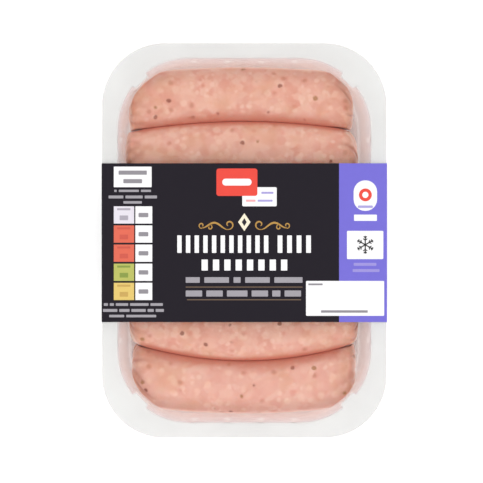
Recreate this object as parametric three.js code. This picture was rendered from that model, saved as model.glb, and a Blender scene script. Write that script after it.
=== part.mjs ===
// Sealed pack of six pork sausages: a clear formed tray, a clear lidding film over
// it, six sausages lying side by side, and a printed board sleeve round the middle.
// Millimetres. X is across the pack, Y along it, Z up. The origin is under the
// middle of the pack, on the surface it lies on.
import * as THREE from 'three';

// ---- driving dimensions --------------------------------------------------------
const TRAY_WIDTH = 137;            // across the flange
const TRAY_LENGTH = 190;           // along the flange
const TRAY_HEIGHT = 36;            // underside of the base to the top of the flange
const TRAY_SHEET = 0.5;            // wall of the formed tray
const FLANGE_CORNER = 30;          // outer corner radius of the flange
const MOUTH_WIDTH = 121.8;         // the well's opening, across
const MOUTH_LENGTH = 175.4;        // the well's opening, along
const MOUTH_CORNER = 34.5;         // corner radius of the opening
const MOUTH_ROLL = 0.8;            // rounding from the flange down into the well
const WALL_DRAFT = THREE.MathUtils.degToRad(8);
const FLOOR_FILLET = 5;            // radius between wall and base
const FOOT_BAND = 7;               // width of the foot round the raised base
const BASE_RISE = 0.8;             // the base stands this much above its foot

const FLUTE_PITCH = 16.2;          // spacing of the flutes in the walls
const FLUTE_HALF = 2.1;            // half width of a flute at the wall
const FLUTE_FLAT = 1.1;            // half width of its flat bottom
const FLUTE_DEPTH = 0.9;           // it bulges outwards by this much
const FLUTE_TOP = 1.6;             // it starts this far below the flange
const FLUTE_RUNOUT = 1.6;          // and takes this much to reach full depth
const FLUTE_FADE = 10;             // this far below the flange it starts to run out
const FLUTE_END = 13;              // and here it has ended
const END_FLUTES = 4;
const SIDE_FLUTES = 7;

const LUG_DEPTH = 2;               // corner stacking lugs stand this far inwards
const LUG_FACE = 3.5;              // half width of a lug's flat face
const LUG_ROOT = 4.9;              // half width where it leaves the wall
const CORNER_STEPS = 3;            // arc steps on either side of a lug

const FILM = 0.2;                  // thickness of the lidding film
const FILM_INSET = 0.3;            // it is trimmed this far inside the flange
const BOARD = 0.45;                // thickness of the sleeve's board
const SLEEVE_LENGTH = 76.4;        // along Y
const SLEEVE_SHIFT = -1.1;         // its middle lies this far along Y
const SLEEVE_TOP_HALF = 69.35;     // half width over the flange
const SLEEVE_BASE_HALF = 59.3;     // half width on the table
const SLEEVE_FOLD = 0.9;           // outer radius of its folds
const FOLD_STEPS = 3;

const TRAY_LIFT = 0.15;            // clearance between the tray's foot and the board
const FILM_LIFT = 0.05;            // between flange and film
const SLEEVE_LIFT = 0.15;          // between film and board

const SAUSAGE_GAP = 0.3;           // between neighbours, and over the base
const WALL_GAP = 0.45;             // between a sausage and the tray
const SECTION_POWER = 2.5;         // squareness of a sausage pressed by its neighbours
const SAUSAGE_SIDES = 20;
const BODY_STEPS = 9;
const END_STEPS = 4;
const PUCKER_DEPTH = 1.8;          // dimple in the middle of an end
const PUCKER_PLEATS = 5;
const PLEAT_DEPTH = 0.9;
const LUMP_DEPTH = 0.5;
const LUMP_LENGTH = 58;            // from one lump to the next along a sausage

// ---- heights -------------------------------------------------------------------
const FOOT_UNDER = BOARD + TRAY_LIFT;
const FLANGE_TOP = FOOT_UNDER + TRAY_HEIGHT;
const FOOT_TOP = FOOT_UNDER + TRAY_SHEET;
const FILM_UNDER = FLANGE_TOP + FILM_LIFT;
const SLEEVE_TOP = FILM_UNDER + FILM + SLEEVE_LIFT + BOARD;
const SAUSAGE_UNDER = FOOT_TOP + BASE_RISE + SAUSAGE_GAP;

// The well is a rectangle (its spine) with every wall a fixed distance off it.
const SPINE_X = MOUTH_WIDTH / 2 - MOUTH_CORNER;
const SPINE_Y = MOUTH_LENGTH / 2 - MOUTH_CORNER;
const FLANGE_SPINE_X = TRAY_WIDTH / 2 - FLANGE_CORNER;
const FLANGE_SPINE_Y = TRAY_LENGTH / 2 - FLANGE_CORNER;

// ---- meshes from rings ---------------------------------------------------------
// Closes a stack of rings, each with the same number of points, with a fan at each
// end, and turns the faces outwards.
function loft(rings, firstTip, lastTip) {
  const sides = rings[0].length;
  const points = [...rings.flat(), firstTip, lastTip];
  const firstIndex = rings.length * sides;
  const lastIndex = firstIndex + 1;
  const lastRing = (rings.length - 1) * sides;
  const faces = [];
  for (let i = 0; i < sides; i += 1) {
    const j = (i + 1) % sides;
    faces.push([firstIndex, j, i]);
    faces.push([lastIndex, lastRing + i, lastRing + j]);
    for (let row = 0; row < lastRing; row += sides) {
      faces.push([row + i, row + j, row + sides + j]);
      faces.push([row + i, row + sides + j, row + sides + i]);
    }
  }
  const geometry = new THREE.BufferGeometry().setFromPoints(points);
  const inwards = signedVolume(points, faces) < 0;
  geometry.setIndex(faces.flatMap(([a, b, c]) => (inwards ? [a, c, b] : [a, b, c])));
  geometry.computeVertexNormals();
  return geometry;
}

function signedVolume(points, faces) {
  const cross = new THREE.Vector3();
  return faces.reduce((sum, [a, b, c]) => {
    cross.crossVectors(points[b], points[c]);
    return sum + points[a].dot(cross) / 6;
  }, 0);
}

// ---- the tray ------------------------------------------------------------------
// Stations round the well: a point on the spine, the direction the wall faces, and
// how much of a flute or a lug the wall has there.
function sideOffsets(half, flutes) {
  const offsets = [{ at: -half, flute: 0 }];
  for (let i = 0; i < flutes; i += 1) {
    const middle = (i - (flutes - 1) / 2) * FLUTE_PITCH;
    offsets.push({ at: middle - FLUTE_HALF, flute: 0 });
    offsets.push({ at: middle - FLUTE_FLAT, flute: 1 });
    offsets.push({ at: middle + FLUTE_FLAT, flute: 1 });
    offsets.push({ at: middle + FLUTE_HALF, flute: 0 });
  }
  offsets.push({ at: half, flute: 0 });
  const sliver = 0.05;
  return offsets.filter((here, i) => i === 0 || here.at - offsets[i - 1].at > sliver);
}

function cornerAngles() {
  const middle = Math.PI / 4;
  const root = Math.atan(LUG_ROOT / MOUTH_CORNER);
  const face = Math.atan(LUG_FACE / (MOUTH_CORNER - LUG_DEPTH));
  const before = [];
  for (let i = 1; i <= CORNER_STEPS; i += 1) {
    before.push({ turn: ((middle - root) * i) / CORNER_STEPS, lug: 0 });
  }
  before.push({ turn: middle - face, lug: 1 });
  const after = before.map(({ turn, lug }) => ({ turn: Math.PI / 2 - turn, lug }));
  return [...before, ...after.reverse()];
}

function wellStations() {
  const stations = [];
  const corners = [[1, 1], [-1, 1], [-1, -1], [1, -1]];
  corners.forEach(([sx, sy], quarter) => {
    const start = (quarter * Math.PI) / 2;
    const onSide = quarter % 2 === 0;
    for (const { turn, lug } of cornerAngles()) {
      stations.push({ x: sx * SPINE_X, y: sy * SPINE_Y, turn: start + turn, flute: 0, lug });
    }
    const half = onSide ? SPINE_X : SPINE_Y;
    const flutes = onSide ? END_FLUTES : SIDE_FLUTES;
    for (const { at, flute } of sideOffsets(half, flutes)) {
      const x = onSide ? -sx * at : sx * SPINE_X;
      const y = onSide ? sy * SPINE_Y : -sy * at;
      stations.push({ x, y, turn: start + Math.PI / 2, flute, lug: 0 });
    }
  });
  return stations;
}

// Distance of the inside of the wall in from the mouth, at a height.
function wallInset(z) {
  const drafted = (FLANGE_TOP - z) * Math.tan(WALL_DRAFT);
  const intoFillet = FOOT_TOP + FLOOR_FILLET - z;
  if (intoFillet <= 0) {
    return drafted;
  }
  const across = Math.sqrt(Math.max(0, FLOOR_FILLET ** 2 - intoFillet ** 2));
  return drafted + FLOOR_FILLET - across;
}

function fluteDepth(z) {
  const belowStart = (FLANGE_TOP - FLUTE_TOP - z) / FLUTE_RUNOUT;
  const aboveEnd = (z - FLANGE_TOP + FLUTE_END) / (FLUTE_END - FLUTE_FADE);
  return FLUTE_DEPTH * THREE.MathUtils.clamp(Math.min(belowStart, aboveEnd), 0, 1);
}

function wellRing(stations, z, inset, outwards) {
  const lugDepth = Math.max(0, LUG_DEPTH - Math.max(0, inset));
  return stations.map(({ x, y, turn, flute, lug }) => {
    const reach = MOUTH_CORNER - inset + outwards + flute * fluteDepth(z) - lug * lugDepth;
    return new THREE.Vector3(x + reach * Math.cos(turn), y + reach * Math.sin(turn), z);
  });
}

function flangeRing(stations, z, inset) {
  const reach = FLANGE_CORNER - inset;
  return stations.map(({ x, y, turn }) => new THREE.Vector3(
    (x / SPINE_X) * FLANGE_SPINE_X + reach * Math.cos(turn),
    (y / SPINE_Y) * FLANGE_SPINE_Y + reach * Math.sin(turn),
    z,
  ));
}

function wallHeights() {
  const lugFoot = FLANGE_TOP - LUG_DEPTH / Math.tan(WALL_DRAFT);
  const fillet = [0, 1, 2, 3].map((i) => 1 - Math.sin((i * Math.PI) / 6));
  return [
    FLANGE_TOP - FLUTE_TOP,
    FLANGE_TOP - FLUTE_TOP - FLUTE_RUNOUT,
    FLANGE_TOP - FLUTE_FADE,
    FLANGE_TOP - FLUTE_END,
    lugFoot,
    ...fillet.map((up) => FOOT_TOP + FLOOR_FILLET * up),
  ];
}

function trayGeometry() {
  const stations = wellStations();
  const floorInset = wallInset(FOOT_TOP);
  const rise = FOOT_BAND + 1.5 * BASE_RISE;
  const inside = [
    wellRing(stations, FOOT_TOP + BASE_RISE, floorInset + rise, 0),
    wellRing(stations, FOOT_TOP, floorInset + FOOT_BAND, 0),
    ...wallHeights().reverse().map((z) => wellRing(stations, z, wallInset(z), 0)),
    wellRing(stations, FLANGE_TOP - MOUTH_ROLL, 0, 0),
    wellRing(stations, FLANGE_TOP - 0.3 * MOUTH_ROLL, -0.3 * MOUTH_ROLL, 0),
    wellRing(stations, FLANGE_TOP, -MOUTH_ROLL, 0),
  ];
  const edge = [
    flangeRing(stations, FLANGE_TOP, 0),
    flangeRing(stations, FLANGE_TOP - TRAY_SHEET, 0),
    wellRing(stations, FLANGE_TOP - TRAY_SHEET, -MOUTH_ROLL, TRAY_SHEET / 2),
  ];
  const outside = [
    ...wallHeights().map((z) => {
      const low = Math.max(0, FOOT_TOP + FLOOR_FILLET - z) / FLOOR_FILLET;
      return wellRing(stations, z - TRAY_SHEET * low, wallInset(z), TRAY_SHEET * (1 - low ** 2));
    }),
    wellRing(stations, FOOT_UNDER, floorInset + FOOT_BAND + TRAY_SHEET, 0),
    wellRing(stations, FOOT_UNDER + BASE_RISE, floorInset + rise + TRAY_SHEET, 0),
  ];
  return loft(
    [...inside, ...edge, ...outside],
    new THREE.Vector3(0, 0, FOOT_TOP + BASE_RISE),
    new THREE.Vector3(0, 0, FOOT_UNDER + BASE_RISE),
  );
}

// ---- the lidding film ----------------------------------------------------------
function filmGeometry() {
  const stations = wellStations().filter(({ lug }) => lug === 0);
  return loft(
    [
      flangeRing(stations, FILM_UNDER, FILM_INSET),
      flangeRing(stations, FILM_UNDER + FILM, FILM_INSET),
    ],
    new THREE.Vector3(0, 0, FILM_UNDER),
    new THREE.Vector3(0, 0, FILM_UNDER + FILM),
  );
}

// ---- the sausages --------------------------------------------------------------
// Seams between neighbours, from the far end of the pack to the near one: the place
// along Y at the middle of the pack, and how far the seam has bent towards the
// middle at BEND_REACH.
const BEND_REACH = 50;
const SEAMS = [
  { middle: 84.6, bend: 2.5 },
  { middle: 57.8, bend: 3.9 },
  { middle: 28.8, bend: 1.5 },
  { middle: -0.4, bend: -1.2 },
  { middle: -29.6, bend: -4.0 },
  { middle: -58.4, bend: -7.1 },
  { middle: -84.6, bend: -3.4 },
];

// Each sausage: where its left and right ends are, its height, and the rounding of
// the four corners of its outline as [along X, along Y]; far is +Y, near is -Y.
const SAUSAGES = [
  {
    left: -56.6, right: 53.4, height: 26.4,
    leftFar: [4, 8], leftNear: [3, 7], rightFar: [13, 17], rightNear: [4, 6],
  },
  {
    left: -58.4, right: 55.8, height: 27,
    leftFar: [4, 9], leftNear: [4, 9], rightFar: [10, 13], rightNear: [4, 8],
  },
  {
    left: -56.9, right: 54.9, height: 26.6,
    leftFar: [5, 9], leftNear: [4, 8], rightFar: [4, 9], rightNear: [5, 9],
  },
  {
    left: -57.2, right: 54.2, height: 26.2,
    leftFar: [4, 8], leftNear: [5, 10], rightFar: [5, 9], rightNear: [4, 8],
  },
  {
    left: -56.8, right: 56, height: 27.2,
    leftFar: [4, 9], leftNear: [7, 12], rightFar: [4, 8], rightNear: [4, 8],
  },
  {
    left: -55.1, right: 54.6, height: 26,
    leftFar: [6, 9], leftNear: [13, 16], rightFar: [4, 7], rightNear: [6, 10],
  },
];
const END_RISE = 9;                // rounding of an end seen from the side

function seamAt(seam, x) {
  return seam.middle - seam.bend * (x / BEND_REACH) ** 2;
}

function signedPower(value, power) {
  return Math.sign(value) * Math.abs(value) ** power;
}

// Soft meat gives way to the tray: a point past the wall is moved back to it.
function insideWell(point) {
  const inset = wallInset(point.z) + WALL_GAP;
  const beyondX = Math.abs(point.x) - SPINE_X;
  const beyondY = Math.abs(point.y) - SPINE_Y;
  if (beyondX > 0 && beyondY > 0) {
    const reach = MOUTH_CORNER - Math.max(inset, LUG_DEPTH + WALL_GAP);
    const scale = Math.min(1, reach / Math.hypot(beyondX, beyondY));
    point.x = Math.sign(point.x) * (SPINE_X + beyondX * scale);
    point.y = Math.sign(point.y) * (SPINE_Y + beyondY * scale);
    return point;
  }
  const reach = MOUTH_CORNER - inset;
  point.x = THREE.MathUtils.clamp(point.x, -SPINE_X - reach, SPINE_X + reach);
  point.y = THREE.MathUtils.clamp(point.y, -SPINE_Y - reach, SPINE_Y + reach);
  return point;
}

// One ring of a sausage. rounding runs from 0 on the body to 1 at the end face, and
// side is -1 for the left end and 1 for the right one.
function sausageRing(index, x, side, rounding, scale) {
  const sausage = SAUSAGES[index];
  const far = side < 0 ? sausage.leftFar : sausage.rightFar;
  const near = side < 0 ? sausage.leftNear : sausage.rightNear;
  const end = side < 0 ? sausage.left : sausage.right;
  const halfHeight = sausage.height / 2;
  const turn = (rounding * Math.PI) / 2;
  const pulledIn = 1 - Math.cos(turn);
  const ring = [];
  for (let i = 0; i < SAUSAGE_SIDES; i += 1) {
    const around = (2 * Math.PI * (i + 0.5)) / SAUSAGE_SIDES;
    const across = signedPower(Math.cos(around), 2 / SECTION_POWER);
    const up = signedPower(Math.sin(around), 2 / SECTION_POWER);
    const toFar = 0.5 + 0.5 * across;
    const endReach = THREE.MathUtils.lerp(near[0], far[0], toFar);
    const along = rounding > 0 ? end - side * endReach * (1 - Math.sin(turn)) : x;
    const farEdge = seamAt(SEAMS[index], along) - SAUSAGE_GAP / 2 - far[1] * pulledIn;
    const nearEdge = seamAt(SEAMS[index + 1], along) + SAUSAGE_GAP / 2 + near[1] * pulledIn;
    const halfWidth = (farEdge - nearEdge) / 2;
    const lumpPhase = (2 * Math.PI * along) / LUMP_LENGTH + 2.3 * index + 3 * around;
    const lump = LUMP_DEPTH * (0.5 + 0.5 * Math.sin(lumpPhase));
    const pleat = PLEAT_DEPTH * pulledIn * (0.5 + 0.5 * Math.cos(PUCKER_PLEATS * around + index));
    const wide = (halfWidth - pleat - 0.5 * lump) * scale;
    const high = (halfHeight - END_RISE * pulledIn - pleat - lump) * scale;
    ring.push(insideWell(new THREE.Vector3(
      along,
      (farEdge + nearEdge) / 2 + wide * across,
      SAUSAGE_UNDER + halfHeight + high * up,
    )));
  }
  return ring;
}

function sausageEnd(index, side) {
  const end = side < 0 ? SAUSAGES[index].left : SAUSAGES[index].right;
  const rings = [];
  for (let i = 1; i <= END_STEPS; i += 1) {
    rings.push(sausageRing(index, end, side, i / END_STEPS, 1));
  }
  const dimple = sausageRing(index, end, side, 1, 0.5);
  dimple.forEach((point) => {
    point.x -= side * PUCKER_DEPTH * 0.4;
  });
  rings.push(dimple);
  return rings;
}

function sausageTip(index, side) {
  const { left, right, height, leftFar, leftNear, rightFar, rightNear } = SAUSAGES[index];
  const [end, far, near] = side < 0 ? [left, leftFar, leftNear] : [right, rightFar, rightNear];
  const farEdge = seamAt(SEAMS[index], end) - far[1];
  const nearEdge = seamAt(SEAMS[index + 1], end) + near[1];
  const tip = new THREE.Vector3(end, (farEdge + nearEdge) / 2, SAUSAGE_UNDER + height / 2);
  insideWell(tip);
  tip.x -= side * PUCKER_DEPTH;
  return tip;
}

function sausageGeometry(index) {
  const { left, right, leftFar, leftNear, rightFar, rightNear } = SAUSAGES[index];
  const bodyLeft = left + Math.max(leftFar[0], leftNear[0]);
  const bodyRight = right - Math.max(rightFar[0], rightNear[0]);
  const body = [];
  for (let i = 0; i <= BODY_STEPS; i += 1) {
    const share = i / BODY_STEPS;
    const x = THREE.MathUtils.lerp(bodyLeft, bodyRight, share);
    body.push(sausageRing(index, x, share < 0.5 ? -1 : 1, 0, 1));
  }
  return loft(
    [...sausageEnd(index, -1).reverse(), ...body, ...sausageEnd(index, 1)],
    sausageTip(index, -1),
    sausageTip(index, 1),
  );
}

// ---- the sleeve ----------------------------------------------------------------
// Outline of the folded board in X and Z, with its four folds rounded.
function foldedOutline(topHalf, baseHalf, top, base, radius) {
  const corners = [
    new THREE.Vector2(-baseHalf, base),
    new THREE.Vector2(baseHalf, base),
    new THREE.Vector2(topHalf, top),
    new THREE.Vector2(-topHalf, top),
  ];
  const points = [];
  corners.forEach((corner, i) => {
    const before = corners[(i + 3) % 4].clone().sub(corner).normalize();
    const after = corners[(i + 1) % 4].clone().sub(corner).normalize();
    const half = Math.acos(before.dot(after)) / 2;
    const middle = before.clone().add(after).normalize();
    const centre = corner.clone().addScaledVector(middle, radius / Math.sin(half));
    const start = corner.clone().addScaledVector(before, radius / Math.tan(half)).sub(centre);
    const sweep = Math.PI - 2 * half;
    for (let step = 0; step <= FOLD_STEPS; step += 1) {
      const spoke = start.clone().rotateAround(new THREE.Vector2(), (sweep * step) / FOLD_STEPS);
      points.push(centre.clone().add(spoke));
    }
  });
  return points;
}

function sleeveGeometry() {
  const lean = Math.atan((SLEEVE_TOP_HALF - SLEEVE_BASE_HALF) / SLEEVE_TOP);
  const sideBoard = BOARD / Math.cos(lean);
  const slope = Math.tan(lean);
  const shape = new THREE.Shape(
    foldedOutline(SLEEVE_TOP_HALF, SLEEVE_BASE_HALF, SLEEVE_TOP, 0, SLEEVE_FOLD),
  );
  shape.holes.push(new THREE.Path(foldedOutline(
    SLEEVE_TOP_HALF - sideBoard - BOARD * slope,
    SLEEVE_BASE_HALF - sideBoard + BOARD * slope,
    SLEEVE_TOP - BOARD,
    BOARD,
    SLEEVE_FOLD - BOARD,
  )));
  const geometry = new THREE.ExtrudeGeometry(shape, { depth: SLEEVE_LENGTH, bevelEnabled: false });
  geometry.rotateX(Math.PI / 2);
  geometry.translate(0, SLEEVE_SHIFT + SLEEVE_LENGTH / 2, 0);
  return geometry;
}

// ---- the pack ------------------------------------------------------------------
const clearTray = new THREE.MeshStandardMaterial({
  color: 0xe4e6e4, roughness: 0.12, metalness: 0, transparent: true, opacity: 0.4,
});
const clearFilm = new THREE.MeshStandardMaterial({
  color: 0xf4f6f6, roughness: 0.05, metalness: 0, transparent: true, opacity: 0.15,
});
const rawPork = new THREE.MeshStandardMaterial({ color: 0xe5a694, roughness: 0.4, metalness: 0 });
const printedBoard = new THREE.MeshStandardMaterial({ color: 0x2c282e, roughness: 0.5, metalness: 0 });

function named(name, geometry, material) {
  const mesh = new THREE.Mesh(geometry, material);
  mesh.name = name;
  return mesh;
}

const pack = new THREE.Group();
pack.add(named('tray', trayGeometry(), clearTray));
pack.add(named('film', filmGeometry(), clearFilm));
SAUSAGES.forEach((_, index) => {
  pack.add(named(`sausage_${index + 1}`, sausageGeometry(index), rawPork));
});
pack.add(named('sleeve', sleeveGeometry(), printedBoard));

export default pack;
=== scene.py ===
# Looks of a sealed pack of six pork sausages: a clear tray, a clear lidding film, the
# sausages and a printed board sleeve. The shapes are worked out in millimetres in the
# pack's own frame (X across, Y along, Z up), and handed to Blender in metres.
import math
import random

import bpy
import numpy as np
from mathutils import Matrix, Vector, noise


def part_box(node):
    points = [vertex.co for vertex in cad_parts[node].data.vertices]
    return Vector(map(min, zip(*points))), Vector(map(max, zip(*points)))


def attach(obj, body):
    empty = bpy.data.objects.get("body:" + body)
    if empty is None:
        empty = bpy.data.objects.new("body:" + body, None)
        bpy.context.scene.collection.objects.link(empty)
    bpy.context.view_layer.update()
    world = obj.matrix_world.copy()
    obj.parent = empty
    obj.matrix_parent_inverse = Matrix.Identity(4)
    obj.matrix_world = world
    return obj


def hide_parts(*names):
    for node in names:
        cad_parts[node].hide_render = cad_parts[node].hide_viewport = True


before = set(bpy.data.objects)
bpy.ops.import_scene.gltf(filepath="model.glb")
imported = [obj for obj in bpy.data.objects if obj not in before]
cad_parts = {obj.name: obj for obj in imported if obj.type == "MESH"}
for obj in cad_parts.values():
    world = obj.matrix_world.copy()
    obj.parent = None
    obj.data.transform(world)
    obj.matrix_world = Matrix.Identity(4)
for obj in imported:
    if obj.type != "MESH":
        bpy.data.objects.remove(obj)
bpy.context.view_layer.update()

MM = 0.001
BODY = "root"


def corners(node):
    """Lowest and highest corner of a CAD node, in millimetres."""
    low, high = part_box(node)
    return np.array(low) / MM, np.array(high) / MM


# ---- sizes, in millimetres ----
tray_low, tray_high = corners("tray")
film_low, film_high = corners("film")
sleeve_low, sleeve_high = corners("sleeve")

TRAY_SHEET = 0.5
EDGE_ROUND = 0.12  # rounding of the flange's cut edge
FLANGE_CORNER = 30.0
MOUTH_WIDTH = 121.8
MOUTH_LENGTH = 175.4
MOUTH_CORNER = 34.5
MOUTH_ROLL = 0.8
WALL_DRAFT = math.radians(8)
FLOOR_FILLET = 5.0
FOOT_BAND = 7.0
BASE_RISE = 0.8
BASE_SLOPE = 1.2  # breadth of the slope from the foot up to the base

FLUTE_PITCH = 16.2
FLUTE_HALF = 2.1  # half its breadth at the wall
FLUTE_FLAT = 1.1  # half its breadth where it is deepest
FLUTE_DEPTH = 0.9
FLUTE_TOP = 1.6  # how far under the flange it starts
FLUTE_RUNOUT = 1.6  # over what height it deepens
FLUTE_FADE = 10.0  # how far under the flange it starts to fade
FLUTE_END = 13.0
END_FLUTES = 4
SIDE_FLUTES = 7

LUG_DEPTH = 2.0
LUG_FACE = 3.5  # half its breadth at its face
LUG_ROOT = 4.9  # and where it leaves the wall

FLANGE_TOP = tray_high[2]
FOOT_UNDER = tray_low[2]
FOOT_TOP = FOOT_UNDER + TRAY_SHEET
SPINE_X = MOUTH_WIDTH / 2 - MOUTH_CORNER
SPINE_Y = MOUTH_LENGTH / 2 - MOUTH_CORNER
FLANGE_SPINE_X = tray_high[0] - FLANGE_CORNER
FLANGE_SPINE_Y = tray_high[1] - FLANGE_CORNER

SAUSAGE_GAP = 0.3  # over the base
SEAM_GAP = 0.02  # between neighbours, which press on each other
WALL_GAP = 0.45
SAUSAGE_UNDER = FOOT_TOP + BASE_RISE + SAUSAGE_GAP
SECTION_POWER = 2.5  # 2 is a round section, more a squarer one
END_RISE = 9.0  # how far an end's height is drawn in, above and below
PRESS = 0.1  # share by which a sausage is wider than its room
UNDER_PRESS = 0.8  # how much longer the under half of an end stays pressed
UNDER_HALF = (-0.2, 0.3)  # where that comes in, as a share below half the height
PUCKER_DEPTH = 1.8
PUCKER_PLEATS = 5
PLEAT_DEPTH = 0.9
LUMP_DEPTH = 0.5
LUMP_LENGTH = 58.0
LUMP_SHIFT = 2.3  # radians from one sausage to the next
LUMP_TURNS = 3  # lumps round a section
NUB_HEIGHT = 0.3
NUB_SHARE = 0.14  # its breadth as a share of the end face
TIP_RISE = 0.1

BOARD = 0.45
FOLD_RADIUS = 0.9
INK = 0.02  # how far a printed field stands off the board
SUNK = 0.01  # how far its under side lies in what it is printed on


# ---- meshes ----
def smoothstep(value):
    value = np.clip(value, 0, 1)
    return value * value * (3 - 2 * value)


def ease(value, start, end):
    """From 0 to 1 as the value goes from start to end, with soft ends."""
    return smoothstep((value - start) / (end - start))


def make_piece(name, points, faces, materials, nodes=(), face_materials=None, sharp=40):
    """A mesh from points in millimetres, riding on the pack and standing for CAD nodes."""
    mesh = bpy.data.meshes.new(name)
    mesh.from_pydata((np.asarray(points, float) * MM).tolist(), [], faces)
    for material in materials:
        mesh.materials.append(material)
    if face_materials is not None:
        mesh.polygons.foreach_set("material_index", face_materials)
    mesh.shade_smooth()
    mesh.set_sharp_from_angle(angle=math.radians(sharp))
    mesh.update()
    piece = bpy.data.objects.new(name, mesh)
    bpy.context.scene.collection.objects.link(piece)
    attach(piece, BODY)
    if nodes:
        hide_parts(*nodes)
    return piece


def mark(piece, name, values):
    """Keeps a value from 0 to 1 at each point of a piece, for its material to read."""
    layer = piece.data.attributes.new(name, "FLOAT", "POINT")
    layer.data.foreach_set("value", np.asarray(values, np.float32).ravel())


def closed_loft(rows, first_tip, last_tip):
    """Points and faces of a stack of rings, closed by a fan at each end."""
    count, sides = rows.shape[:2]
    points = np.vstack([rows.reshape(-1, 3), [first_tip], [last_tip]])
    first, last = count * sides, count * sides + 1
    faces = []
    for i in range(sides):
        j = (i + 1) % sides
        faces.append((first, j, i))
        faces.append((last, (count - 1) * sides + i, (count - 1) * sides + j))
        for start in range(0, (count - 1) * sides, sides):
            faces.append((start + i, start + j, start + sides + j, start + sides + i))
    return facing_out(points, faces)


def closed_bar(sections):
    """Points and faces of a bar through four-cornered sections: the four sides of each
    step in turn, and last the two ends."""
    points = np.array(sections, float).reshape(-1, 3)
    last = len(points) - 4
    faces = []
    for start in range(0, last, 4):
        for a, b in ((0, 1), (1, 2), (2, 3), (3, 0)):
            faces.append((start + a, start + b, start + 4 + b, start + 4 + a))
    faces += [(3, 2, 1, 0), (last, last + 1, last + 2, last + 3)]
    return facing_out(points, faces)


def facing_out(points, faces):
    """The same points and faces, turned round if the faces look inwards."""
    volume = 0.0
    for size in (3, 4):
        corner = np.array([face for face in faces if len(face) == size], int).reshape(-1, size)
        for k in range(1, size - 1):
            a, b, c = points[corner[:, 0]], points[corner[:, k]], points[corner[:, k + 1]]
            volume += np.einsum("ij,ij->i", a, np.cross(b, c)).sum()
    return points, [face[::-1] for face in faces] if volume < 0 else faces


# ---- material nodes ----
LIGHT_LEVEL = 1.2  # how bright a white surface facing up is lit


def linear(level):
    level /= 255
    return level / 12.92 if level <= 0.04045 else ((level + 0.055) / 1.055) ** 2.4


def seen(red, green, blue):
    """The colour of a surface that looks like this 8-bit colour in the scene's light."""
    return (*(linear(level) / LIGHT_LEVEL for level in (red, green, blue)), 1.0)


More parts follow.
